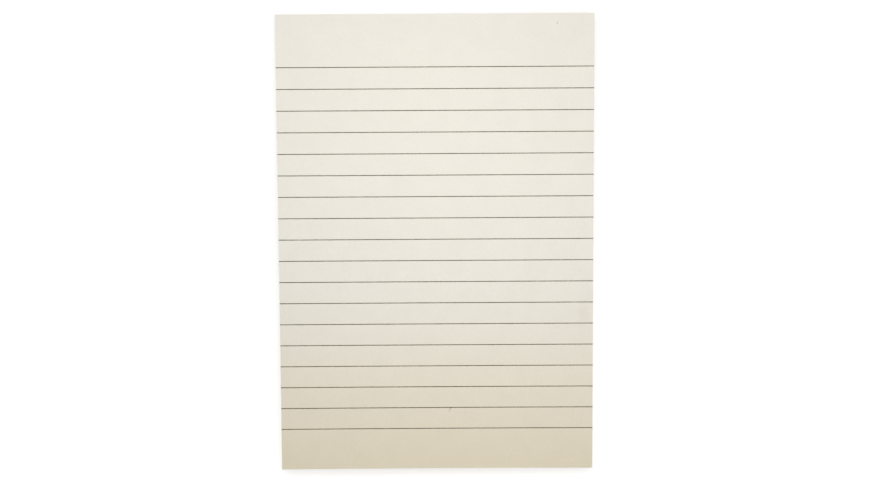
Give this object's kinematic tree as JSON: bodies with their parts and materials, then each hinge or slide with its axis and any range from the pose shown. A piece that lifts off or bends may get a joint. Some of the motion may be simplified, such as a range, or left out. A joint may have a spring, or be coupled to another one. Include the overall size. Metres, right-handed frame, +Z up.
{
  "type": "sticky note pad",
  "caption": "Pad of cream, ruled sticky notes held along the head edge, on a thin backing sheet, lying flat with the writing face up.",
  "frame": {"origin": "centre of the underside of the backing sheet, on the surface that the pad rests on", "axes": "+X across the note, to the writer's right; +Y up the page, to the bonded head edge; +Z up, out of the writing face"},
  "size_m": [0.105, 0.152, 0.0114],
  "materials": {
    "note_paper": "matte uncoated cream writing paper",
    "backing_card": "smooth pale card with a low sheen"
  },
  "bodies": {
    "root": {"note_sheets": "note_paper", "backing_sheet": "backing_card"}
  },
  "joints": []
}
